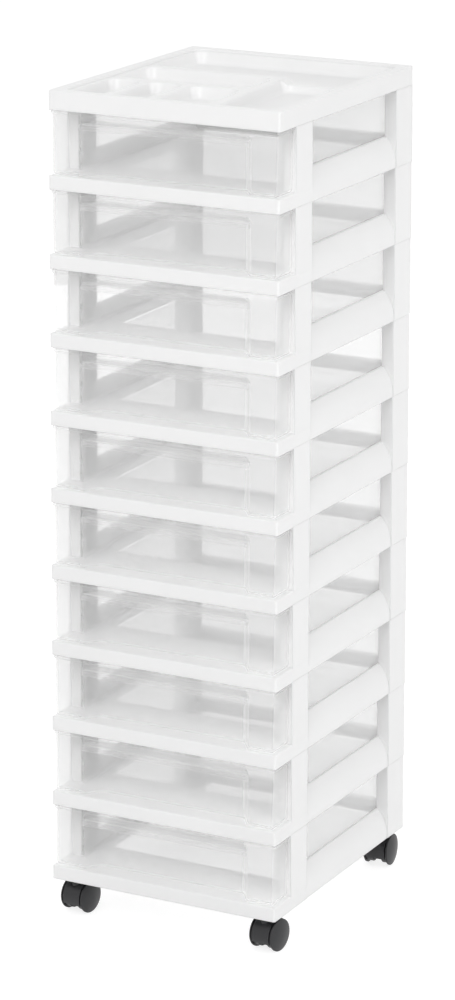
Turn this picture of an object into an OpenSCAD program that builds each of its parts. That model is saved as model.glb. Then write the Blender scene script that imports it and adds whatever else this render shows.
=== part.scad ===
// Rolling drawer tower: ten stacked tier frames, ten clear drawers, a moulded
// organizer top and four twin-wheel swivel casters.
// X runs across the tower, +Y to the rear, +Z up; the origin is on the floor
// under the centre of the tower. The drawers open towards -Y.

/* [Tower] */
// Width over the frames
tower_w = 306; // [290:1:340]
// Depth over the frames
tower_d = 362; // [340:1:400]
// Height of one tier, from joint to joint
tier_h = 96; // [90:1:120]
// Height of the organizer top
top_h = 24; // [24:1:32]
// Height of the lowest frame above the floor
base_z = 46.5; // [44:0.5:52]

/* [Frame] */
// Wall of the frame mouldings
frame_wall = 2.4; // [2:0.1:2.8]
// Height of the band along the front of each tier
band_h = 17.5; // [16:0.5:20]
// Radius of the band's vertical corners
band_corner_r = 3; // [2:0.5:5]
// Radius along the band's top edge
band_edge_r = 1.8; // [1:0.2:2]
// Distance from the front face to the front posts
post_setback = 44; // [38:1:50]
// Depth of a front post
front_post_d = 43; // [36:1:50]
// Depth of a rear post
rear_post_d = 46; // [38:1:52]
// Thickness of the posts across the tower
post_t = 16; // [15:0.5:18]
// How far each post leans in from its foot to its top
post_draft = 1; // [0.4:0.1:1.4]
// Height of the side rails
rail_h = 38; // [32:1:44]
// Height of the rail's upright foot
rail_foot = 4; // [2:0.5:8]
// How far the rail's bulged face curves in at its top
rail_inset = 13.8; // [12:0.2:14.6]
// How far the rails stand in from the posts' outer faces
rail_set = 0.6; // [0.3:0.1:1]
// Radius of the rail's rolled top edge
rail_edge_r = 5; // [3:0.5:6]
// Width of the runner flange that carries a drawer
runner_w = 10; // [8:0.5:14]
// Height of the rear bar's lower edge above the joint
bar_z = 16; // [10:1:20]
// Height of the rear bar
bar_h = 17; // [12:1:22]
// Depth of the rear bar's flanges
bar_d = 11; // [6:0.5:11]
// Number of ribs under the front shelf
shelf_ribs = 4; // [2:1:6]
// Thickness of the ribs
rib_t = 1.6; // [1.2:0.1:2]

/* [Stacking tabs] */
// Height of the tab on each post
tab_h = 9; // [6:0.5:11]
// Thickness of the tab
tab_t = 4; // [3:0.25:4.5]
// Clearance between a tab and the walls beside it
tab_gap = 0.3; // [0.2:0.05:0.5]

/* [Drawers] */
// Wall of the drawers
drawer_wall = 1.8; // [1.4:0.1:2.2]
// Distance of a drawer front from each side of the tower
front_inset = 3.5; // [3:0.25:5]
// How far the rolled rim stands out of the walls
rim_proud = 2; // [1.5:0.25:2.5]
// Height of the rolled rim
rim_h = 3; // [2:0.25:4]
// Gap between a drawer and the posts beside it
side_gap = 1.5; // [1:0.1:2.5]
// Gap between a drawer's floor and its runners, and at its closed stop
slide_gap = 0.3; // [0.2:0.05:0.4]
// Gap between a drawer's rim and the frame above
rim_gap = 1; // [0.6:0.1:2]
// How far the drawer walls lean in, from rim to floor
drawer_draft = 1.3; // [0.5:0.1:2]
// Distance from a drawer's rear wall to the tower's rear face
drawer_rear_gap = 21; // [18:1:45]
// Corner radius of a drawer front
front_r = 4; // [2.5:0.5:5]
// Corner radius of a drawer's rear end
tub_r = 12; // [6:1:20]
// Radius between the floor and the walls
floor_r = 5; // [3:0.5:7]
// Width of the pull recess at the front face
pull_w = 234; // [180:2:240]
// Depth of the pull recess
pull_d = 24; // [16:1:30]
// How far each side wall of the pull recess slants in
pull_slant = 17; // [8:1:20]
// Radius of the pull recess's rear corners
pull_r = 8; // [4:0.5:10]
// Height of the lip over the pull recess
lip_h = 20; // [16:1:28]
// How far the lip hangs below the recess's ceiling
grip_drop = 6; // [3:0.5:8]
// Distance from the face of a drawer's stops to its rear wall
stop_setback = 13.7; // [11:0.1:60]
// Width of one stop under the drawer's rear
stop_w = 24; // [14:1:40]
// Depth of one stop below the drawer's floor
stop_h = 3; // [2:0.25:4]
// Thickness of one stop
stop_t = 2.7; // [2:0.1:4]
// Distance between the two stops, centre to centre
stop_span = 120; // [80:5:180]

/* [Organizer top] */
// Width of the rim along the sides
rim_w = 14; // [11:0.5:15]
// Width of the rim along the front and the rear
rim_end_w = 12; // [10:0.5:14]
// How far the dividers stay below the rim
divider_drop = 3; // [1:0.5:4]
// How far the low divider stays below the rim
low_divider_drop = 9; // [6:0.5:12]
// Depth of the compartments below the rim
well_depth = 19; // [15:0.5:20]
// Slope of the compartment walls, as run over rise
well_slope = 0.25; // [0.1:0.05:0.3]
// Corner radius of the compartments
well_r = 10; // [6:0.5:11]
// Radius between a compartment's floor and walls
well_floor_r = 5; // [2:0.5:6]
// Thickness of the dividers along their tops
divider_t = 6; // [5:0.5:8]
// Thickness of the divider behind the small compartments
cross_divider_t = 8; // [6:0.5:10]
// Width of one small compartment
cell_w = 50; // [44:1:54]
// Length of the small compartments
cell_l = 114; // [100:1:120]
// Length of the long compartment behind them
long_l = 86; // [76:1:92]
// Width of the compartment at the front right
side_cell_w = 80; // [72:1:86]
// How much wider that compartment is at its rear end
side_cell_flare = 11; // [6:0.5:12]
// How far that compartment ends ahead of the long one
side_cell_short = 4; // [2:0.5:8]

/* [Casters] */
// Diameter of the wheels
wheel_d = 40; // [36:0.5:42]
// Thickness of a wheel at its edge
wheel_edge_t = 1.8; // [1.4:0.1:3]
// Height of the dome on a wheel's outer face
dome_h = 3.5; // [2.5:0.25:4]
// Radius where the dome meets the edge
wheel_edge_r = 0.8; // [0.4:0.1:1.2]
// Width of the tread that runs under the hood
tread_w = 7.5; // [4:0.25:7.75]
// Wall of the tread
tread_wall = 2; // [1.5:0.25:3]
// Radial gap between the hood and the treads under it
tread_gap = 0.8; // [0.5:0.1:1.5]
// Width of the hood between the wheels
hood_w = 25; // [24:0.2:28]
// Gap between the hood and each wheel's edge
hood_gap = 1.6; // [1.4:0.1:2.6]
// How far the hood stands out of the wheels
hood_proud = 0.3; // [0:0.1:1.5]
// Wall of the hood
hood_wall = 1.8; // [1.4:0.1:2.2]
// Distance from the stem back to the axle
caster_trail = 8; // [7:0.25:13]
// Diameter of the stem
stem_d = 8; // [6:0.5:8]
// Diameter of the axle
axle_d = 4; // [3:0.25:4]
// Distance of the stems from the tower's sides
stem_side = 22.5; // [22:0.5:26]
// Distance of the front stems from the front face
stem_front = 21; // [17:0.5:26]
// Distance of the rear stems from the rear face
stem_rear = 24.5; // [22:0.5:36]
// Diameter of the sockets that hold the stems
socket_d = 22; // [16:0.5:23]
// How far the sockets reach below the lowest frame
socket_drop = 2.5; // [1:0.25:3]
// Radial clearance of the turning fits
running_gap = 0.06; // [0.02:0.01:0.1]
// How far the front casters stand turned about their stems, in degrees
front_caster_turn = -8; // [-180:1:180]
// How far the rear casters stand turned about their stems, in degrees
rear_caster_turn = 4; // [-180:1:180]

/* [Hidden] */
$fn = 64;
TIERS = 10;
CORNERS = ["fl", "fr", "rl", "rr"];
CASTER_PIECES = ["stem", "hood", "axle", "wheel_left", "wheel_right"];

// Small overrun that keeps a cut from ending on the face that it cuts
cut = 1;

// Frame
half_w = tower_w / 2;
front_y = -tower_d / 2;
rear_y = tower_d / 2;
post_in_x = half_w - post_t;
front_post_y = front_y + post_setback;
shelf_rear_y = front_post_y + front_post_d;
rear_post_y = rear_y - rear_post_d;
post_lean = post_draft / tier_h;
rail_rise = rail_h - rail_foot;
rail_r = (rail_rise * rail_rise + rail_inset * rail_inset) / (2 * rail_inset);
rail_x = half_w - rail_set;
tab_x = half_w - post_draft - frame_wall - tab_gap - tab_t;

// Drawer, with heights above its tier's joint
drawer_z = band_h + slide_gap;
drawer_top_z = tier_h - rim_gap;
drawer_front_y = front_y + rim_proud;
drawer_rear_y = rear_y - drawer_rear_gap;
shoulder_y = front_post_y - slide_gap;
front_half_w = half_w - front_inset;
tub_half_w = post_in_x - side_gap - rim_proud;
drawer_slope = drawer_draft / (drawer_top_z - drawer_z);
lip_z = drawer_top_z - lip_h;
stop_y = drawer_rear_y - stop_setback;

// Organizer top
rim_step = 0.4;
divider_z = top_h - divider_drop;
well_z = top_h - well_depth;
cell_x = -half_w + rim_w;
cell_y = front_y + rim_end_w;
cell_rear_y = cell_y + cell_l;
cell_pitch = cell_w + divider_t;
long_y = cell_rear_y + cross_divider_t;
long_rear_y = long_y + long_l;
rear_well_y = long_rear_y + divider_t;
rear_well_rear_y = rear_y - rim_end_w;
side_cell_rear_y = long_rear_y - side_cell_short;
side_cell_x = half_w - rim_w - side_cell_w;
side_cell_end_x = half_w - rim_w;
side_lean = side_cell_flare / (side_cell_rear_y - cell_y);
block_end_x = side_cell_x - divider_t - well_slope * well_depth;
long_end_x = block_end_x - side_lean * (long_y - cell_y);

// Caster, with its stem on the Z axis and heights above the floor
wheel_r = wheel_d / 2;
hood_r = wheel_r + hood_proud;
tread_r = hood_r - hood_wall - tread_gap;
wheel_x = hood_w / 2 + hood_gap;
collar_t = 1.4;
collar_r = 7;
collar_z = base_z - socket_drop - collar_t;
socket_h = band_h - frame_wall;
socket_end_gap = 1;
neck_gap = 0.3;
stem_boss_r = 5.8;
stem_head_r = 4.8;
stem_head_t = 1.2;
head_gap = 0.4;
hub_r = 4.4;
head_rise = 0.1;
stem_head_z = wheel_r + hub_r + head_rise;
axle_boss_w = 8;
axle_reach = 2.5;
axle_end_gap = 0.2;
hub_gap = 0.3;
hub_collar = 1;
hood_front_angle = 24;
hood_rear_angle = 160;

white = [0.93, 0.94, 0.95];
clear = [0.88, 0.90, 0.92, 0.45];
black = [0.08, 0.08, 0.09];
steel = [0.62, 0.63, 0.65];

// ---- profiles ----

// Trapezoid with rounded lower corners: hw is its half-width at v = hi, and
// its sides lean in by slope going down to v = lo.
module tub_section(hw, lo, hi, slope, r) {
    a = atan(slope);
    cx = hw - slope * (hi - lo - r) - r / cos(a);
    polygon([[-cx, lo], [cx, lo], [cx + r * cos(a), lo + r - r * sin(a)], [hw, hi],
             [-hw, hi], [-cx - r * cos(a), lo + r - r * sin(a)]]);
    for (s = [-1, 1]) translate([s * cx, lo + r]) circle(r);
}

// Rectangle from x0 to x1 and y0 to y1 with rounded corners
module rounded_plan(x0, x1, y0, y1, r) {
    for (x = [x0 + r, x1 - r], y = [y0 + r, y1 - r]) translate([x, y]) circle(r);
    translate([x0 + r, y0]) square([x1 - x0 - 2 * r, y1 - y0]);
    translate([x0, y0 + r]) square([x1 - x0, y1 - y0 - 2 * r]);
}

// Profile in X and Z, extruded along Y from y0 to y1
module along_y(y0, y1) {
    translate([0, y1, 0]) rotate([90, 0, 0]) linear_extrude(y1 - y0) children();
}

// Profile in Y and Z, extruded along X from x0 to x1
module along_x(x0, x1) {
    translate([x0, 0, 0]) rotate([90, 0, 90]) linear_extrude(x1 - x0) children();
}

module both_sides() {
    children();
    mirror([1, 0, 0]) children();
}

// Block whose four walls lean in towards a rounded floor
module drafted_block(x0, x1, y0, y1, z0, z1, slope, plan_r, low_r) {
    mid_x = (x0 + x1) / 2;
    mid_y = (y0 + y1) / 2;
    intersection() {
        translate([0, 0, z0 - cut]) linear_extrude(z1 - z0 + 2 * cut) rounded_plan(x0, x1, y0, y1, plan_r);
        along_y(y0 - cut, y1 + cut) translate([mid_x, 0])
            tub_section((x1 - x0) / 2, z0, z1, slope, low_r);
        along_x(x0 - cut, x1 + cut) translate([mid_y, 0])
            tub_section((y1 - y0) / 2, z0, z1, slope, low_r);
    }
}

// Slab with upright corners and a rounded edge round its top
module rounded_slab(y0, y1, h) {
    intersection() {
        linear_extrude(h) rounded_plan(-half_w, half_w, y0, y1, band_corner_r);
        along_y(y0 - cut, y1 + cut) mirror([0, 1])
            tub_section(half_w, -h, 0, 0, band_edge_r);
        along_x(-half_w - cut, half_w + cut) translate([(y0 + y1) / 2, 0]) mirror([0, 1])
            tub_section((y1 - y0) / 2, -h, 0, 0, band_edge_r);
    }
}

// ---- tier frame ----

// Shelf behind the front band: a flat top, skirts all round and ribs below
module front_shelf() {
    inner_w = half_w - frame_wall;
    rib_pitch = 2 * post_in_x / (shelf_ribs + 1);
    difference() {
        intersection() {
            rounded_slab(front_y, shelf_rear_y + 2 * band_edge_r, band_h);
            translate([-half_w, front_y, 0]) cube([tower_w, shelf_rear_y - front_y, band_h]);
        }
        translate([-inner_w, front_y + frame_wall, -cut])
            cube([2 * inner_w, shelf_rear_y - front_y - 2 * frame_wall, band_h - frame_wall + cut]);
    }
    for (i = [1:shelf_ribs])
        translate([-post_in_x + i * rib_pitch - rib_t / 2, front_y + frame_wall / 2, band_h / 4])
            cube([rib_t, shelf_rear_y - front_y - frame_wall, 3 * band_h / 4 - frame_wall / 2]);
}

// Upright channel, open towards the inside, from y0 to y1 on the +X side
module post(y0, y1) {
    difference() {
        along_y(y0, y1)
            polygon([[post_in_x, 0], [half_w, 0], [half_w - post_draft, tier_h], [post_in_x, tier_h]]);
        along_y(y0 + frame_wall, y1 - frame_wall) post_core();
    }
    for (z = [rail_h, (rail_h + tier_h) / 2])
        translate([post_in_x, y0 + frame_wall / 2, z - rib_t])
            cube([post_t - post_draft - frame_wall / 2, y1 - y0 - frame_wall, rib_t]);
    stacking_tab(y0 + frame_wall + tab_gap, y1 - frame_wall - tab_gap);
}

// Inside of a post, seen along Y
module post_core() {
    polygon([[post_in_x - cut, -cut], [half_w - frame_wall + post_lean * cut, -cut],
             [half_w - frame_wall - post_lean * (tier_h - frame_wall), tier_h - frame_wall],
             [post_in_x - cut, tier_h - frame_wall]]);
}

// Chamfered tab that enters the foot of the post above
module stacking_tab(y0, y1) {
    chamfer = tab_t / 4;
    low_z = tier_h - frame_wall / 2;
    high_z = tier_h + tab_h;
    along_y(y0, y1)
        polygon([[tab_x, low_z], [tab_x + tab_t, low_z], [tab_x + tab_t, high_z - chamfer],
                 [tab_x + tab_t - chamfer, high_z], [tab_x + chamfer, high_z],
                 [tab_x, high_z - chamfer]]);
}

// Outline of a side rail, seen along Y: an upright foot, a bulged outer face
// and a rolled top edge
module rail_outline() {
    arc_x = rail_x - rail_r;
    roll_z = rail_h - rail_edge_r;
    roll_x = arc_x + sqrt(pow(rail_r - rail_edge_r, 2) - pow(roll_z - rail_foot, 2));
    tangent_z = rail_foot + (roll_z - rail_foot) * rail_r / (rail_r - rail_edge_r);
    translate([post_in_x, 0]) square([rail_x - post_in_x, rail_foot]);
    intersection() {
        translate([arc_x, rail_foot]) circle(rail_r);
        translate([post_in_x, rail_foot]) square([post_t, tangent_z - rail_foot]);
    }
    intersection() {
        translate([roll_x, roll_z]) circle(rail_edge_r);
        translate([post_in_x, roll_z]) square([post_t, rail_edge_r]);
    }
}

// Side rail between the posts, hollow from below, with its runner flange
module side_rail() {
    arc_x = rail_x - rail_r;
    along_y(shelf_rear_y - frame_wall / 2, rear_post_y + frame_wall / 2) difference() {
        rail_outline();
        translate([post_in_x + frame_wall, -cut])
            square([rail_x - post_in_x - 2 * frame_wall, rail_foot + cut]);
        intersection() {
            translate([arc_x, rail_foot]) circle(rail_r - frame_wall);
            translate([post_in_x + frame_wall, rail_foot])
                square([post_t, rail_rise - frame_wall]);
        }
    }
    translate([post_in_x - runner_w, shelf_rear_y - frame_wall / 2, band_h - frame_wall])
        cube([runner_w + frame_wall, rear_y - shelf_rear_y, frame_wall]);
}

// Channel across the rear
module rear_bar() {
    half_l = post_in_x + frame_wall;
    along_x(-half_l, half_l) translate([rear_y - bar_d, bar_z]) difference() {
        square([bar_d, bar_h]);
        translate([-cut, frame_wall])
            square([bar_d - frame_wall + cut, bar_h - 2 * frame_wall]);
    }
}

// Corner plate and socket for a caster's stem, at x and y under the frame
module stem_socket(x, y) {
    difference() {
        translate([x, y, -socket_drop]) cylinder(d = socket_d, h = socket_drop + socket_h + frame_wall / 2);
        translate([x, y, -socket_drop - cut]) cylinder(d = stem_d, h = socket_drop + socket_h + cut);
    }
}

module rear_corner_plate() {
    translate([post_in_x - 2 * runner_w, rear_post_y - frame_wall, band_h - frame_wall])
        cube([2 * runner_w + post_t - frame_wall, rear_post_d, frame_wall]);
}

module tier_frame(is_base) {
    color(white) difference() {
        union() {
            front_shelf();
            rear_bar();
            both_sides() {
                post(front_post_y, shelf_rear_y);
                post(rear_post_y, rear_y);
                side_rail();
                if (is_base) {
                    stem_socket(half_w - stem_side, front_y + stem_front);
                    stem_socket(half_w - stem_side, rear_y - stem_rear);
                    rear_corner_plate();
                }
            }
        }
        if (is_base)
            for (s = [-1, 1], y = [front_y + stem_front, rear_y - stem_rear])
                translate([s * (half_w - stem_side), y, -cut]) cylinder(d = stem_d, h = socket_h + cut);
    }
}

// ---- drawer ----

// Wide front end and narrower tub, both shrunk by inset; over raises the open top
module drawer_body(inset, over) {
    grow = drawer_slope * over;
    drafted_block(-front_half_w + inset - grow, front_half_w - inset + grow,
                  drawer_front_y + inset - grow, shoulder_y - inset + grow,
                  drawer_z + inset, drawer_top_z + over, drawer_slope, front_r - inset / 2, floor_r - inset);
    drafted_block(-tub_half_w + inset - grow, tub_half_w - inset + grow,
                  (drawer_front_y + shoulder_y) / 2 + inset - grow, drawer_rear_y - inset + grow,
                  drawer_z + inset, drawer_top_z + over, drawer_slope, tub_r - inset, floor_r - inset);
}

// Plan of the pull recess, grown by t on its sides and back
module pull_plan(t) {
    mirror([0, 1])
        tub_section(pull_w / 2 + t, -(drawer_front_y + pull_d + t), -front_y + cut,
                    pull_slant / pull_d, pull_r);
}

module pull_walls() {
    translate([0, 0, drawer_z])
        linear_extrude(lip_z + grip_drop + drawer_wall - drawer_z) pull_plan(drawer_wall);
}

// Open space of the recess: full depth below the lip, and behind the lip above
module pull_space() {
    translate([0, 0, drawer_z - cut]) linear_extrude(lip_z - drawer_z + cut) pull_plan(0);
    intersection() {
        translate([0, 0, lip_z - cut]) linear_extrude(grip_drop + cut) pull_plan(0);
        translate([-half_w, drawer_front_y + drawer_wall, lip_z - cut])
            cube([tower_w, tower_d, grip_drop + cut]);
    }
}

// Plan of the drawer at its rim, grown by t
module rim_plan(t) {
    mid_y = (drawer_front_y + shoulder_y) / 2;
    rounded_plan(-front_half_w - t, front_half_w + t, drawer_front_y - t, shoulder_y, front_r + t);
    rounded_plan(-tub_half_w - t, tub_half_w + t, mid_y, drawer_rear_y + t, tub_r + t);
}

module drawer_rim() {
    translate([0, 0, drawer_top_z - rim_h]) linear_extrude(rim_h) difference() {
        rim_plan(rim_proud);
        intersection() {
            rim_plan(-drawer_wall / 2);
            // the shoulder keeps its wall
            union() {
                translate([-half_w, front_y]) square([tower_w, shoulder_y - drawer_wall / 2 - front_y]);
                translate([-tub_half_w, front_y]) square([2 * tub_half_w, tower_d]);
            }
        }
    }
}

module drawer_stops() {
    for (s = [-1, 1])
        translate([s * stop_span / 2 - stop_w / 2, stop_y, drawer_z - stop_h])
            cube([stop_w, stop_t, stop_h + drawer_wall / 2]);
}

module drawer() {
    color(clear) {
        difference() {
            union() {
                difference() {
                    drawer_body(0, 0);
                    drawer_body(drawer_wall, cut);
                }
                intersection() {
                    drawer_body(0, 0);
                    pull_walls();
                }
            }
            pull_space();
        }
        drawer_rim();
        drawer_stops();
    }
}

// ---- organizer top ----

// Compartment from x0 to x1 and y0 to y1 at the dividers' tops; grow gives its outside
module well(x0, x1, y0, y1, grow) {
    out = well_slope * cut + grow;
    drafted_block(x0 - out, x1 + out, y0 - out, y1 + out, well_z - grow, divider_z + cut,
                  well_slope, well_r + grow, well_floor_r + grow);
}

// Keeps a compartment to one side of a slanted line: x0 at y0, and further left towards the rear
module left_of(x0, y0) {
    intersection() {
        children();
        translate([x0, y0, -cut]) linear_extrude(top_h + 2 * cut)
            polygon([[-tower_w, -tower_d], [side_lean * tower_d, -tower_d],
                     [-side_lean * tower_d, tower_d], [-tower_w, tower_d]]);
    }
}

module right_of(x0, y0) {
    difference() {
        children();
        left_of(x0, y0) translate([-tower_w, -tower_d, -cut])
            cube([2 * tower_w, 2 * tower_d, top_h + 2 * cut]);
    }
}

module organizer_wells(grow) {
    for (i = [0:1])
        well(cell_x + i * cell_pitch, cell_x + i * cell_pitch + cell_w, cell_y, cell_rear_y, grow);
    left_of(block_end_x + grow, cell_y)
        well(cell_x + 2 * cell_pitch, block_end_x, cell_y, cell_rear_y, grow);
    left_of(long_end_x + grow, long_y)
        well(cell_x, long_end_x, long_y, long_rear_y, grow);
    right_of(side_cell_x - grow, cell_y)
        well(side_cell_x - side_cell_flare, side_cell_end_x, cell_y, side_cell_rear_y, grow);
    well(cell_x, side_cell_end_x, rear_well_y, rear_well_rear_y, grow);
}

// Skirt, rim and the sheet that joins the compartments along their tops
module organizer_shell() {
    sheet_z = divider_z - frame_wall;
    core_x = half_w - rim_w + 2 * frame_wall;
    core_y = rear_y - rim_end_w + 2 * frame_wall;
    difference() {
        rounded_slab(front_y, rear_y, top_h);
        translate([-half_w + frame_wall, front_y + frame_wall, -cut])
            cube([tower_w - 2 * frame_wall, tower_d - 2 * frame_wall, sheet_z + cut]);
        translate([0, 0, sheet_z - cut]) linear_extrude(divider_drop + cut) difference() {
            square([tower_w - 2 * frame_wall, tower_d - 2 * frame_wall], center = true);
            square([2 * core_x, 2 * core_y], center = true);
        }
    }
}

// Ribs that stand on the posts and hold the stacking tabs between them
module organizer_seats() {
    for (y = [front_post_y, shelf_rear_y - frame_wall, rear_post_y, rear_y - frame_wall])
        both_sides() translate([half_w - rim_w, y, 0])
            cube([rim_w - frame_wall / 2, frame_wall, top_h - frame_wall / 2]);
}

module organizer_top() {
    low_z = top_h - low_divider_drop;
    low_y = side_cell_rear_y - well_r;
    low_l = rear_well_y - side_cell_rear_y + 2 * well_r;
    low_x = side_cell_x - side_cell_flare;
    low_w = side_cell_w + side_cell_flare;
    color(white) difference() {
        union() {
            organizer_shell();
            organizer_seats();
            organizer_wells(frame_wall);
            translate([low_x - frame_wall, low_y, low_z - frame_wall])
                cube([low_w + 2 * frame_wall, low_l, divider_z - low_z + frame_wall]);
        }
        organizer_wells(0);
        drafted_block(cell_x - rim_step, side_cell_end_x + rim_step, cell_y - rim_step,
                      rear_well_rear_y + rim_step, divider_z, top_h + cut, 0, well_r, rim_step);
        drafted_block(low_x, side_cell_end_x + well_slope * cut - rim_step / 2, low_y, low_y + low_l,
                      low_z, divider_z + cut, well_slope, rim_step, rim_step);
    }
}

// ---- casters ----

// Places a caster piece at its corner; the axle trails behind the stem
module at_corner(c) {
    x = half_w - stem_side;
    front = front_y + stem_front;
    rear = rear_y - stem_rear;
    place = [[-x, front], [x, front], [-x, rear], [x, rear]][c];
    turn = c < 2 ? front_caster_turn : rear_caster_turn;
    translate([place[0], place[1], 0]) rotate([0, 0, turn]) children();
}

// Stem: pressed into the frame's socket, collared, with a headed lower end
module stem() {
    tip = stem_d / 8;
    tip_z = base_z + socket_h - socket_end_gap;
    color(steel) rotate_extrude() polygon([
        [0, stem_head_z], [stem_head_r, stem_head_z], [stem_head_r, stem_head_z + stem_head_t],
        [stem_d / 2, stem_head_z + stem_head_t], [stem_d / 2, collar_z], [collar_r, collar_z],
        [collar_r, collar_z + collar_t], [stem_d / 2, collar_z + collar_t], [stem_d / 2, tip_z - tip],
        [stem_d / 2 - tip, tip_z], [0, tip_z]]);
}

// Sector of the hood seen from its side, from the front lip over the top
module hood_sector(r) {
    far = 3 * r;
    polygon([[0, 0], [-far * cos(hood_front_angle), -far * sin(hood_front_angle)],
             [-far, far], [far, far],
             [-far * cos(hood_rear_angle), far * sin(hood_rear_angle)]]);
}

module hood() {
    boss_z = stem_head_z + stem_head_t + running_gap;
    color(black) difference() {
        union() {
            // curved cover
            translate([0, caster_trail, wheel_r]) along_x(-hood_w / 2, hood_w / 2) intersection() {
                difference() {
                    circle(hood_r);
                    circle(hood_r - hood_wall);
                }
                hood_sector(hood_r);
            }
            // web down the middle
            translate([0, caster_trail, wheel_r]) along_x(-hood_wall / 2, hood_wall / 2) union() {
                intersection() {
                    circle(hood_r - hood_wall / 2);
                    hood_sector(hood_r);
                }
                circle(hub_r + hub_collar);
            }
            translate([0, caster_trail, wheel_r]) rotate([0, 90, 0])
                cylinder(r = hub_r, h = axle_boss_w, center = true);
            // boss round the stem, up to the collar
            translate([0, 0, boss_z]) cylinder(r = stem_boss_r, h = collar_z - neck_gap - boss_z);
        }
        translate([0, 0, boss_z - cut / 2]) cylinder(d = stem_d + 2 * running_gap, h = base_z);
        translate([0, 0, stem_head_z - head_gap])
            cylinder(r = stem_boss_r, h = boss_z - stem_head_z + head_gap);
        translate([-hood_w, caster_trail, wheel_r]) rotate([0, 90, 0]) cylinder(d = axle_d, h = 2 * hood_w);
    }
}

module axle() {
    half_l = wheel_x + axle_reach;
    color(steel) translate([-half_l, caster_trail, wheel_r]) rotate([0, 90, 0])
        cylinder(d = axle_d, h = 2 * half_l);
}

// Wheel on the +X side: a domed disc outside the hood, with a tread and a hub that run under it
module wheel() {
    face = wheel_x + wheel_edge_t + dome_h;
    dome_r = (wheel_r * wheel_r + dome_h * dome_h) / (2 * dome_h);
    edge_in = wheel_r - wheel_edge_r;
    edge_x = face - dome_r + sqrt(pow(dome_r - wheel_edge_r, 2) - edge_in * edge_in);
    color(black) translate([0, caster_trail, wheel_r]) rotate([0, 90, 0]) rotate_extrude() difference() {
        union() {
            intersection() {
                union() {
                    translate([0, wheel_x]) square([wheel_r, edge_x - wheel_x]);
                    translate([edge_in, edge_x]) circle(wheel_edge_r);
                    translate([0, wheel_x]) square([edge_in * dome_r / (dome_r - wheel_edge_r), face - wheel_x]);
                }
                translate([0, face - dome_r]) circle(dome_r, $fn = 360);
                translate([0, wheel_x]) square([wheel_r, face]);
            }
            translate([tread_r - tread_wall, wheel_x - tread_w]) square([tread_wall, tread_w + cut]);
            translate([0, axle_boss_w / 2 + hub_gap]) square([hub_r, wheel_x - axle_boss_w / 2]);
        }
        square([axle_d / 2 + running_gap, wheel_x + axle_reach + axle_end_gap]);
    }
}

module caster_piece(p) {
    if (p == "stem") stem();
    if (p == "hood") hood();
    if (p == "axle") axle();
    if (p == "wheel_left") mirror([1, 0, 0]) wheel();
    if (p == "wheel_right") wheel();
}

for (k = [1:TIERS]) {
    translate([0, 0, base_z + (k - 1) * tier_h]) tier_frame(k == 1);
    translate([0, 0, base_z + (k - 1) * tier_h]) drawer();
}
translate([0, 0, base_z + TIERS * tier_h]) organizer_top();
for (c = [0:3], p = CASTER_PIECES)
    at_corner(c) caster_piece(p);
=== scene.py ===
import bpy
import math
from mathutils import Matrix, Vector
from mathutils.geometry import delaunay_2d_cdt


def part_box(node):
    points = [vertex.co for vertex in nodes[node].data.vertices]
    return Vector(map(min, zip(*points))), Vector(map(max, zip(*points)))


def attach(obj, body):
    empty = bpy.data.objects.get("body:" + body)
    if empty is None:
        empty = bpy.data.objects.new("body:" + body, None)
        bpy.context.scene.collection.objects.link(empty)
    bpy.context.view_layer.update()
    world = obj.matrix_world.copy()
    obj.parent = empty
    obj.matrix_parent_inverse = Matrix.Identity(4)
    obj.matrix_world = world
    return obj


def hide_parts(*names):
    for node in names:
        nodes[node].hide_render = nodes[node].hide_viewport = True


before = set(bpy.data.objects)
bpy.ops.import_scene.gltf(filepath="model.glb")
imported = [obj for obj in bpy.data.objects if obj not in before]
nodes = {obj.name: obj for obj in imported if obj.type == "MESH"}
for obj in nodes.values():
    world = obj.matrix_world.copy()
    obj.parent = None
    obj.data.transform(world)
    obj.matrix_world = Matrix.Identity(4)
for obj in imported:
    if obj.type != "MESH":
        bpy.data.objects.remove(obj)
scene = bpy.context.scene
scene.view_settings.view_transform = "Standard"
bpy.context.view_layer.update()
print("frame loaded:", len(nodes), "nodes")

# Camera: angles in degrees, distances in metres
cameraSetup = {
    "azimuth": 27.463, "elevation": 12.114, "roll": 0.228,
    "distance": 4.893, "sideShift": -0.00718, "upShift": 0.77874,
    "baseHeight": 0.0465, "lens": 140.67, "shiftY": -0.27,
}


def makeCamera(setup):
    az, el, roll = (math.radians(setup[k]) for k in ("azimuth", "elevation", "roll"))
    ahead = Vector((-math.sin(az) * math.cos(el), math.cos(az) * math.cos(el), -math.sin(el)))
    right = Vector((math.cos(az), math.sin(az), 0))
    up = right.cross(ahead)
    data = bpy.data.cameras.new("towerCamera")
    data.lens, data.sensor_width = setup["lens"], 36
    data.shift_y = setup["shiftY"]
    data.clip_end = 100
    cam = bpy.data.objects.new("towerCamera", data)
    scene.collection.objects.link(cam)
    place = right * setup["sideShift"] + up * setup["upShift"] - ahead * setup["distance"]
    place.z += setup["baseHeight"]
    rolledRight = right * math.cos(roll) + up * math.sin(roll)
    rolledUp = up * math.cos(roll) - right * math.sin(roll)
    turn = Matrix((rolledRight, rolledUp, -ahead)).transposed().to_4x4()
    cam.matrix_world = Matrix.Translation(place) @ turn
    scene.camera = cam


makeCamera(cameraSetup)
# A look through the drawers passes many clear walls
scene.cycles.transparent_max_bounces = 48
scene.cycles.max_bounces = 24
scene.cycles.diffuse_bounces = 16

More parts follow.
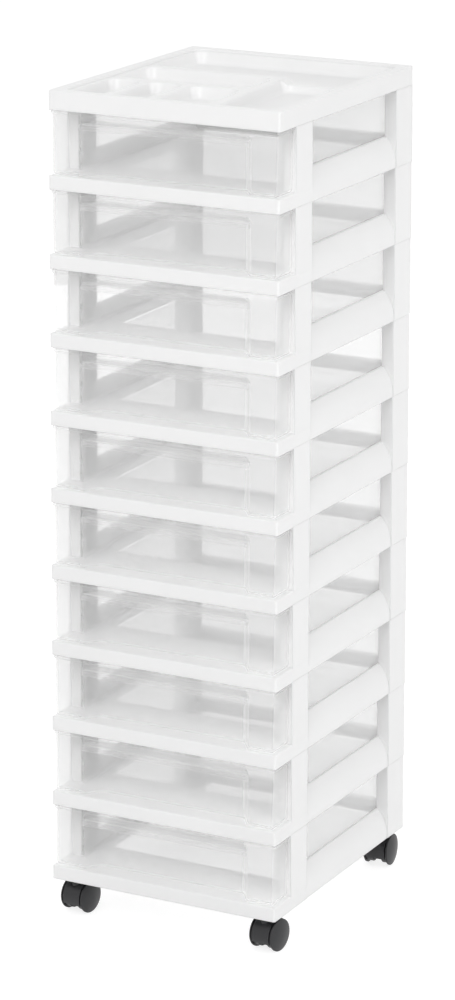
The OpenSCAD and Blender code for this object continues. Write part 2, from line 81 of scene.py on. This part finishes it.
# Light: a pale room and three wide soft lamps, with their places and sizes in metres
roomLight = {"horizon": 0.66, "zenith": 0.72}
lamps = {
    "frontLamp": {"place": (0.4, -2.9, 2.7), "aim": (0, 0, 0.4),
                  "size": 2.0, "energy": 36.0, "mirrored": True},
    "sideLamp": {"place": (3.2, -0.4, 1.5), "aim": (0, 0, 0.5),
                 "size": 2.0, "energy": 23.0, "mirrored": True},
    "backLamp": {"place": (-1.6, 2.8, 1.0), "aim": (0, 0, 0.5),
                 "size": 3.0, "energy": 46.0, "mirrored": False},
}


def addNode(tree, kind, **inputs):
    node = tree.nodes.new(kind)
    for name, value in inputs.items():
        node.inputs[name.replace("_", " ")].default_value = value
    return node


# 1 for the rays that see the background directly, by reflection or through glass
def seenRays(tree):
    path = tree.nodes.new("ShaderNodeLightPath")
    first = tree.nodes.new("ShaderNodeMath")
    first.operation = "MAXIMUM"
    tree.links.new(path.outputs["Is Camera Ray"], first.inputs[0])
    tree.links.new(path.outputs["Is Glossy Ray"], first.inputs[1])
    second = tree.nodes.new("ShaderNodeMath")
    second.operation = "MAXIMUM"
    tree.links.new(first.outputs[0], second.inputs[0])
    tree.links.new(path.outputs["Is Transmission Ray"], second.inputs[1])
    return second.outputs[0]


def makeWorld(setup):
    world = bpy.data.worlds.new("paleRoom")
    scene.world = world
    world.use_nodes = True
    tree = world.node_tree
    tree.nodes.clear()
    place = tree.nodes.new("ShaderNodeTexCoord")
    height = tree.nodes.new("ShaderNodeSeparateXYZ")
    fade = addNode(tree, "ShaderNodeMapRange")
    fade.inputs["To Min"].default_value = setup["horizon"]
    fade.inputs["To Max"].default_value = setup["zenith"]
    room = addNode(tree, "ShaderNodeBackground", Color=(1, 1, 1, 1))
    tree.links.new(place.outputs["Generated"], height.inputs[0])
    tree.links.new(height.outputs["Z"], fade.inputs["Value"])
    tree.links.new(fade.outputs[0], room.inputs["Strength"])
    seen = addNode(tree, "ShaderNodeBackground", Color=(1, 1, 1, 1), Strength=1.0)
    mix = tree.nodes.new("ShaderNodeMixShader")
    out = tree.nodes.new("ShaderNodeOutputWorld")
    tree.links.new(seenRays(tree), mix.inputs[0])
    tree.links.new(room.outputs[0], mix.inputs[1])
    tree.links.new(seen.outputs[0], mix.inputs[2])
    tree.links.new(mix.outputs[0], out.inputs[0])


def addLamp(name, setup):
    data = bpy.data.lights.new(name, "AREA")
    data.shape, data.size, data.energy = "DISK", setup["size"], setup["energy"]
    lamp = bpy.data.objects.new(name, data)
    scene.collection.objects.link(lamp)
    lamp.location = setup["place"]
    lamp.rotation_mode = "QUATERNION"
    ahead = Vector(setup["aim"]) - Vector(setup["place"])
    lamp.rotation_quaternion = ahead.to_track_quat("-Z", "Y")
    lamp.visible_camera = False
    lamp.visible_glossy = setup["mirrored"]


makeWorld(roomLight)
for lampName, lampSetup in lamps.items():
    addLamp(lampName, lampSetup)
print("camera and light set")

# Materials: mottle, grain and ripple are pattern scales, bump is how strongly grain or ripple shows
finishes = {
    "frameWhite": {"colour": (0.865, 0.865, 0.865), "roughness": 0.34,
                   "mottle": 9.0, "grain": 900.0, "bump": 0.02},
    "drawerClear": {"colour": (0.91, 0.91, 0.91), "roughness": 0.2, "tint": 0.98,
                    "milk": 0.1, "edgeMilk": 0.35, "edgeBlend": 0.35,
                    # the rim values are painted shade: what shows through is darkened where the sheet
                    # is seen edge-on, in place of refraction
                    "paintedRimShade": 0.62, "paintedRimShadeFrom": 0.8, "through": 0.5, "lampShare": 0.95,
                    "ripple": 14.0, "bump": 0.05},
    "casterBlack": {"colour": (0.012, 0.012, 0.014), "roughness": 0.42,
                    "mottle": 9.0, "grain": 1400.0, "bump": 0.05},
    "stemSteel": {"colour": (0.55, 0.56, 0.58), "roughness": 0.3,
                  "mottle": 9.0, "grain": 2000.0, "bump": 0.02},
}
mottleRange = {"darker": 0.99, "lighter": 1.01, "from": 0.35, "to": 0.65,
               "sheen": 0.05, "sheenFrom": 0.3, "sheenTo": 0.7}
bumpDepth = {"grain": 0.0004, "ripple": 0.002}  # in metres
edgeRound = 0.002  # how softly the frames' edges are shaded, in metres


def newMaterial(name):
    made = bpy.data.materials.new(name)
    made.use_nodes = True
    made.node_tree.nodes.clear()
    return made, made.node_tree


# Even moulded colour with a faint mottle, and a fine grain in the bump
def mouldedPlastic(name, finish, metallic=0.0, roundness=0.0):
    made, tree = newMaterial(name)
    link = tree.links.new
    place = tree.nodes.new("ShaderNodeTexCoord")
    mottle = addNode(tree, "ShaderNodeTexNoise", Scale=finish["mottle"], Detail=3.0)
    ramp = tree.nodes.new("ShaderNodeValToRGB")
    dark, light = ramp.color_ramp.elements
    dark.color = (*[c * mottleRange["darker"] for c in finish["colour"]], 1)
    light.color = (*[min(1, c * mottleRange["lighter"]) for c in finish["colour"]], 1)
    dark.position, light.position = mottleRange["from"], mottleRange["to"]
    grain = addNode(tree, "ShaderNodeTexNoise", Scale=finish["grain"], Detail=2.0)
    bump = addNode(tree, "ShaderNodeBump", Strength=finish["bump"], Distance=bumpDepth["grain"])
    sheen = addNode(tree, "ShaderNodeMapRange", From_Min=mottleRange["sheenFrom"],
                    From_Max=mottleRange["sheenTo"])
    sheen.inputs["To Min"].default_value = finish["roughness"] - mottleRange["sheen"]
    sheen.inputs["To Max"].default_value = finish["roughness"] + mottleRange["sheen"]
    shader = addNode(tree, "ShaderNodeBsdfPrincipled", Metallic=metallic)
    out = tree.nodes.new("ShaderNodeOutputMaterial")
    for tex in (mottle, grain):
        link(place.outputs["Object"], tex.inputs["Vector"])
    link(mottle.outputs["Fac"], ramp.inputs["Fac"])
    link(ramp.outputs["Color"], shader.inputs["Base Color"])
    link(mottle.outputs["Fac"], sheen.inputs["Value"])
    link(sheen.outputs[0], shader.inputs["Roughness"])
    link(grain.outputs["Fac"], bump.inputs["Height"])
    if roundness:
        rounded = tree.nodes.new("ShaderNodeBevel")
        rounded.samples = 6
        rounded.inputs["Radius"].default_value = roundness
        link(rounded.outputs[0], bump.inputs["Normal"])
    link(bump.outputs[0], shader.inputs["Normal"])
    link(shader.outputs[0], out.inputs["Surface"])
    return made


# Clear sheet: mostly see-through, milkier where it is seen edge-on, and lamps shine through most of
# it. What shows through is darkened by painted shade where the sheet is seen edge-on, standing in for
# the dark edges that refraction gives
def clearPlastic(name, finish):
    made, tree = newMaterial(name)
    link = tree.links.new
    place = tree.nodes.new("ShaderNodeTexCoord")
    ripple = addNode(tree, "ShaderNodeTexNoise", Scale=finish["ripple"], Detail=2.0)
    bump = addNode(tree, "ShaderNodeBump", Strength=finish["bump"], Distance=bumpDepth["ripple"])
    clear = tree.nodes.new("ShaderNodeBsdfTransparent")
    # see-through tint of the sheet, with painted shade at the edges seen edge-on standing in for
    # refraction
    tintAndPaintedRimShade = tree.nodes.new("ShaderNodeValToRGB")
    face, rim = tintAndPaintedRimShade.color_ramp.elements
    face.color = (*[finish["tint"]] * 3, 1)
    rim.color = (*[finish["paintedRimShade"]] * 3, 1)
    face.position = finish["paintedRimShadeFrom"]
    skin = addNode(tree, "ShaderNodeBsdfPrincipled", Roughness=finish["roughness"],
                   Base_Color=(*finish["colour"], 1))
    facing = addNode(tree, "ShaderNodeLayerWeight", Blend=finish["edgeBlend"])
    share = addNode(tree, "ShaderNodeMapRange")
    share.inputs["To Min"].default_value = finish["milk"]
    share.inputs["To Max"].default_value = finish["milk"] + finish["edgeMilk"]
    milky = addNode(tree, "ShaderNodeBsdfTranslucent", Color=(*finish["colour"], 1))
    sheet = addNode(tree, "ShaderNodeMixShader", Fac=finish["through"])
    mix = tree.nodes.new("ShaderNodeMixShader")
    path = tree.nodes.new("ShaderNodeLightPath")
    lit = addNode(tree, "ShaderNodeMapRange")
    lit.inputs["To Max"].default_value = finish["lampShare"]
    unshaded = addNode(tree, "ShaderNodeBsdfTransparent", Color=(1, 1, 1, 1))
    lampMix = tree.nodes.new("ShaderNodeMixShader")
    out = tree.nodes.new("ShaderNodeOutputMaterial")
    link(skin.outputs[0], sheet.inputs[1])
    link(milky.outputs[0], sheet.inputs[2])
    link(place.outputs["Object"], ripple.inputs["Vector"])
    link(ripple.outputs["Fac"], bump.inputs["Height"])
    link(bump.outputs[0], skin.inputs["Normal"])
    link(facing.outputs["Fresnel"], share.inputs["Value"])
    link(facing.outputs["Facing"], tintAndPaintedRimShade.inputs["Fac"])
    link(tintAndPaintedRimShade.outputs["Color"], clear.inputs["Color"])
    link(share.outputs[0], mix.inputs[0])
    link(clear.outputs[0], mix.inputs[1])
    link(sheet.outputs[0], mix.inputs[2])
    link(path.outputs["Is Shadow Ray"], lit.inputs["Value"])
    link(lit.outputs[0], lampMix.inputs[0])
    link(mix.outputs[0], lampMix.inputs[1])
    link(unshaded.outputs[0], lampMix.inputs[2])
    link(lampMix.outputs[0], out.inputs["Surface"])
    return made


frameWhite = mouldedPlastic("frameWhite", finishes["frameWhite"], roundness=edgeRound)
drawerClear = clearPlastic("drawerClear", finishes["drawerClear"])
casterBlack = mouldedPlastic("casterBlack", finishes["casterBlack"])
stemSteel = mouldedPlastic("stemSteel", finishes["stemSteel"], metallic=1.0)


def dress(node, material):
    for slot in nodes[node].material_slots:
        slot.material = material


for name in nodes:
    if name.startswith(("frame_", "organizer")):
        dress(name, frameWhite)
    elif name.startswith("drawer_"):
        dress(name, drawerClear)
    elif name.startswith(("hood_", "wheel_")):
        dress(name, casterBlack)
    else:
        dress(name, stemSteel)
print("materials assigned")

# Organizer top, with rolled edges, sloped walls and rounded corners. Lengths are in metres, from the
# piece's outer faces and its top. The blends are how far the low divider takes to dip, and the
# spacings, steps and rings set how smooth the mesh is
organizerSize = {
    "sideRim": 0.014, "endRim": 0.012, "wall": 0.0024, "outerCorner": 0.003, "outerEdge": 0.0018,
    "rimRoll": 0.0026, "rimStep": 0.0004, "dividerDrop": 0.003, "gapDrop": 0.009,
    "wellDepth": 0.019, "wallSlope": 0.25, "wellCorner": 0.016, "wellRoll": 0.0028,
    "wellFoot": 0.006, "divider": 0.006, "crossDivider": 0.008,
    "smallWidth": 0.05, "smallLength": 0.114, "longLength": 0.086,
    "sideWidth": 0.08, "sideFlare": 0.011, "sideShort": 0.004,
    "gapInset": 0.001, "sideBlend": 0.007, "endBlend": 0.009, "inset": 0.00001,
    "spacing": 0.003, "outerSpacing": 0.02, "gapSpacing": 0.0025, "gapSpill": 3,
    "arcSteps": 9, "outerArcSteps": 6, "rollRings": 4, "footRings": 6, "rimRings": 5,
    "sharpAngle": 50.0,
}


def smoothStep(low, high, value):
    t = min(1.0, max(0.0, (value - low) / (high - low)))
    return t * t * (3 - 2 * t)


# Columns round a shape with rounded corners: each has a point inside and an outward direction
def roundColumns(corners, spacing, arcSteps):
    columns, count = [], len(corners)
    edges = [(Vector(corners[(i + 1) % count]) - Vector(corners[i])) for i in range(count)]
    angles = [math.atan2(e.y, e.x) - math.pi / 2 for e in edges]
    for i, corner in enumerate(corners):
        turn = (angles[i] - angles[i - 1]) % (2 * math.pi)
        for k in range(arcSteps + 1):
            angle = angles[i - 1] + turn * k / arcSteps
            columns.append((Vector(corner), Vector((math.cos(angle), math.sin(angle)))))
        spans = max(1, round(edges[i].length / spacing))
        out = Vector((math.cos(angles[i]), math.sin(angles[i])))
        for k in range(1, spans):
            columns.append((Vector(corner) + edges[i] * k / spans, out))
    return columns


# Corner axes of a compartment whose left and right walls may lean towards the rear
def wellAxes(x0, x1, y0, y1, radius, leanLeft=0.0, leanRight=0.0):
    axes = []
    for x, lean, side, y in ((x0, leanLeft, 1, y0 + radius), (x1, leanRight, -1, y0 + radius),
                             (x1, leanRight, -1, y1 - radius), (x0, leanLeft, 1, y1 - radius)):
        axes.append((x - lean * (y - y0) + side * radius * math.sqrt(1 + lean * lean), y))
    return axes


# Inset and height of each ring down a compartment; grow gives its outside
def wellLevels(size, top, sunk, grow):
    tilt = math.atan(size["wallSlope"])
    roll, foot = size["wellRoll"] - grow, size["wellFoot"] + grow
    rollZ = top - size["wellRoll"]
    floorZ = top + size["dividerDrop"] - size["wellDepth"]
    footIn = size["wellRoll"] * math.cos(tilt) + size["wallSlope"] * (
        rollZ + size["wellRoll"] * math.sin(tilt) - floorZ - size["wellFoot"] * (1 - math.sin(tilt)))
    footIn += size["wellFoot"] * math.cos(tilt)
    levels = []
    for k in range(size["rollRings"] + 1):
        turn = (math.pi / 2 - tilt) * k / size["rollRings"]
        levels.append((size["wallSlope"] * sunk + roll * math.sin(turn),
                       rollZ - sunk + roll * math.cos(turn)))
    for k in range(size["footRings"] + 1):
        turn = tilt + (math.pi / 2 - tilt) * k / size["footRings"]
        levels.append((footIn - foot * math.cos(turn),
                       floorZ + size["wellFoot"] - foot * math.sin(turn)))
    return levels


class MeshParts:
    def __init__(self):
        self.points, self.faces = [], []

    def ring(self, places):
        start = len(self.points)
        self.points.extend(places)
        return list(range(start, len(self.points)))

    def loft(self, lower, upper):
        n = len(lower)
        for i in range(n):
            self.faces.append((lower[i], lower[(i + 1) % n], upper[(i + 1) % n], upper[i]))

    # Flat region between an outer ring and holes, with loose points inside it
    def sheet(self, outer, holes, loose, upward):
        ids, edges, outlines = [], [], []
        for loop in [outer] + holes:
            start = len(ids)
            ids += loop
            edges += [(start + k, start + (k + 1) % len(loop)) for k in range(len(loop))]
            outlines.append([Vector(self.points[i][:2]) for i in loop])
        ids += loose
        flat = [Vector(self.points[i][:2]) for i in ids]
        tolerance = 1e-7
        found = delaunay_2d_cdt(flat, edges, [], 0, tolerance)
        for tri in found[2]:
            middle = sum((found[0][k] for k in tri), Vector((0, 0))) / 3
            inHole = any(insideLoop(middle, outline) for outline in outlines[1:])
            if insideLoop(middle, outlines[0]) and not inHole:
                corner = [ids[found[3][k][0]] for k in tri]
                a, b, c = (self.points[k] for k in corner)
                up = (b[0] - a[0]) * (c[1] - a[1]) - (b[1] - a[1]) * (c[0] - a[0]) > 0
                self.faces.append(tuple(corner if up == upward else reversed(corner)))


def insideLoop(point, loop):
    inside = False
    for i, a in enumerate(loop):
        b = loop[i - 1]
        if (a.y > point.y) != (b.y > point.y):
            if point.x < (b.x - a.x) * (point.y - a.y) / (b.y - a.y) + a.x:
                inside = not inside
    return inside


def organizerWells(size, low, high):
    r = size["wellCorner"]
    left, right = low.x + size["sideRim"], high.x - size["sideRim"]
    front, rear = low.y + size["endRim"], high.y - size["endRim"]
    smallRear = front + size["smallLength"]
    longFront = smallRear + size["crossDivider"]
    longRear = longFront + size["longLength"]
    sideRear = longRear - size["sideShort"]
    sideLeft = right - size["sideWidth"]
    lean = size["sideFlare"] / (sideRear - front)
    blockRight = sideLeft - size["divider"] - size["wallSlope"] * size["wellDepth"]
    pitch = size["smallWidth"] + size["divider"]
    wells = []
    for start in (left, left + pitch):
        wells.append(wellAxes(start, start + size["smallWidth"], front, smallRear, r))
    wells.append(wellAxes(left + 2 * pitch, blockRight, front, smallRear, r, 0, lean))
    longRight = blockRight - lean * (longFront - front)
    wells.append(wellAxes(left, longRight, longFront, longRear, r, 0, lean))
    wells.append(wellAxes(sideLeft, right, front, sideRear, r, lean, 0))
    wells.append(wellAxes(left, right, longRear + size["divider"], rear, r))
    gap = {"left": sideLeft - size["sideFlare"] + size["gapInset"], "right": right - size["gapInset"],
           "front": sideRear, "rear": longRear + size["divider"]}
    return wells, gap


def buildOrganizer(size):
    low, high = (Vector(c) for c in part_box("organizer_top"))
    low += Vector([size["inset"]] * 3)
    high -= Vector([size["inset"]] * 3)
    top = high.z - size["dividerDrop"]
    wells, gap = organizerWells(size, low, high)
    fall = size["gapDrop"] - size["dividerDrop"]

    def sunk(x, y):
        side, end = size["sideBlend"], size["endBlend"]
        along = smoothStep(gap["left"], gap["left"] + side, x)
        along *= 1 - smoothStep(gap["right"] - side, gap["right"], x)
        across = smoothStep(gap["front"] - 2 * end, gap["front"] - end, y)
        across *= 1 - smoothStep(gap["rear"] + end, gap["rear"] + 2 * end, y)
        return fall * along * across

    parts = MeshParts()
    r = size["outerCorner"]
    rect = [(low.x + r, low.y + r), (high.x - r, low.y + r),
            (high.x - r, high.y - r), (low.x + r, high.y - r)]
    outside = roundColumns(rect, size["outerSpacing"], size["outerArcSteps"])

    def ringAt(columns, radius, inset, z):
        reach = radius - inset
        return parts.ring([(c.x + reach * d.x, c.y + reach * d.y, z) for c, d in columns])

    # skirt, from its inner foot round to the rim
    rings = [ringAt(outside, r, size["wall"], low.z), ringAt(outside, r, 0, low.z)]
    for k in range(size["rollRings"] + 1):
        turn = math.pi / 2 * k / size["rollRings"]
        rings.append(ringAt(outside, r, size["outerEdge"] * (1 - math.cos(turn)),
                            high.z - size["outerEdge"] * (1 - math.sin(turn))))
    for a, b in zip(rings, rings[1:]):
        parts.loft(a, b)
    skirtTop = rings[-1]
    inner = ringAt(outside, r, size["wall"], top - size["wall"])
    parts.loft(inner, rings[0])

    # rim, rolled down to the dividers
    r = size["wellCorner"]
    box = wellAxes(low.x + size["sideRim"], high.x - size["sideRim"],
                   low.y + size["endRim"], high.y - size["endRim"], r)
    recess = roundColumns(box, size["spacing"], size["arcSteps"])
    rollOut = size["rimRoll"] + size["rimStep"]
    rings = []
    for k in range(size["rimRings"] + 1):
        turn = math.pi / 2 * k / size["rimRings"]
        rings.append(ringAt(recess, r, size["rimRoll"] * math.sin(turn) - rollOut,
                            high.z - size["rimRoll"] * (1 - math.cos(turn))))
    rings.append(ringAt(recess, r, -size["rimStep"], top))
    for a, b in zip(rings, rings[1:]):
        parts.loft(a, b)
    parts.sheet(skirtTop, [rings[0]], [], True)
    recessFoot = rings[-1]

    # compartments, inside and outside
    mouths, roofs = [], []
    for axes in wells:
        columns = roundColumns(axes, size["spacing"], size["arcSteps"])
        depths = [sunk(c.x + r * d.x, c.y + r * d.y) for c, d in columns]
        for grow, openings in ((0.0, mouths), (size["wall"], roofs)):
            stacks = [wellLevels(size, top, s, grow) for s in depths]
            rings = []
            for level in zip(*stacks):
                rings.append(parts.ring([(c.x + (r - inset) * d.x, c.y + (r - inset) * d.y, z)
                                         for (c, d), (inset, z) in zip(columns, level)]))
            for a, b in zip(rings, rings[1:]):
                parts.loft(*((a, b) if grow == 0 else (b, a)))
            parts.faces.append(tuple(rings[-1] if grow == 0 else reversed(rings[-1])))
            openings.append(rings[0])

    # dividers, with the low one between the side and rear compartments
    steps = int((gap["right"] - gap["left"]) / size["gapSpacing"])
    for openings, outer, down, upward in ((mouths, recessFoot, 0.0, True),
                                          (roofs, inner, size["wall"], False)):
        loose = []
        for i in range(-size["gapSpill"], steps + size["gapSpill"] + 1):
            for share in (0.25, 0.5, 0.75):
                x = gap["left"] + (gap["right"] - gap["left"]) * i / steps
                y = gap["front"] + (gap["rear"] - gap["front"]) * share
                if x < gap["right"] + size["gapInset"] / 2:
                    loose += parts.ring([(x, y, top - down - sunk(x, y))])
        parts.sheet(outer, openings, loose, upward)

    mesh = bpy.data.meshes.new("organizerTop")
    mesh.from_pydata(parts.points, [], parts.faces)
    mesh.validate()
    mesh.shade_smooth()
    mesh.set_sharp_from_angle(angle=math.radians(size["sharpAngle"]))
    mesh.materials.append(frameWhite)
    piece = bpy.data.objects.new("organizerTop", mesh)
    scene.collection.objects.link(piece)
    even = piece.modifiers.new("evenShading", "WEIGHTED_NORMAL")
    even.keep_sharp = True
    ready = piece.evaluated_get(bpy.context.evaluated_depsgraph_get())
    piece.data = bpy.data.meshes.new_from_object(ready)
    piece.modifiers.clear()
    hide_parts("organizer_top")
    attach(piece, "tower")


buildOrganizer(organizerSize)
print("organizer top built")

# Floor: white to the eye, pale to the light, and it keeps the tower's shadow
floorSetup = {"size": 60.0, "glow": 0.8, "seenColour": 0.35, "colour": 0.85}


def makeFloor(setup):
    half = setup["size"] / 2
    mesh = bpy.data.meshes.new("studioFloor")
    corners = [(-half, -half, 0), (half, -half, 0), (half, half, 0), (-half, half, 0)]
    mesh.from_pydata(corners, [], [(0, 1, 2, 3)])
    floor = bpy.data.objects.new("studioFloor", mesh)
    scene.collection.objects.link(floor)
    made, tree = newMaterial("studioFloor")
    plain = addNode(tree, "ShaderNodeBsdfDiffuse", Color=(*[setup["colour"]] * 3, 1))
    pale = addNode(tree, "ShaderNodeBsdfDiffuse", Color=(*[setup["seenColour"]] * 3, 1))
    glow = addNode(tree, "ShaderNodeEmission", Color=(1, 1, 1, 1), Strength=setup["glow"])
    both = tree.nodes.new("ShaderNodeAddShader")
    mix = tree.nodes.new("ShaderNodeMixShader")
    out = tree.nodes.new("ShaderNodeOutputMaterial")
    tree.links.new(pale.outputs[0], both.inputs[0])
    tree.links.new(glow.outputs[0], both.inputs[1])
    tree.links.new(seenRays(tree), mix.inputs[0])
    tree.links.new(plain.outputs[0], mix.inputs[1])
    tree.links.new(both.outputs[0], mix.inputs[2])
    tree.links.new(mix.outputs[0], out.inputs["Surface"])
    mesh.materials.append(made)


makeFloor(floorSetup)
print("floor made")
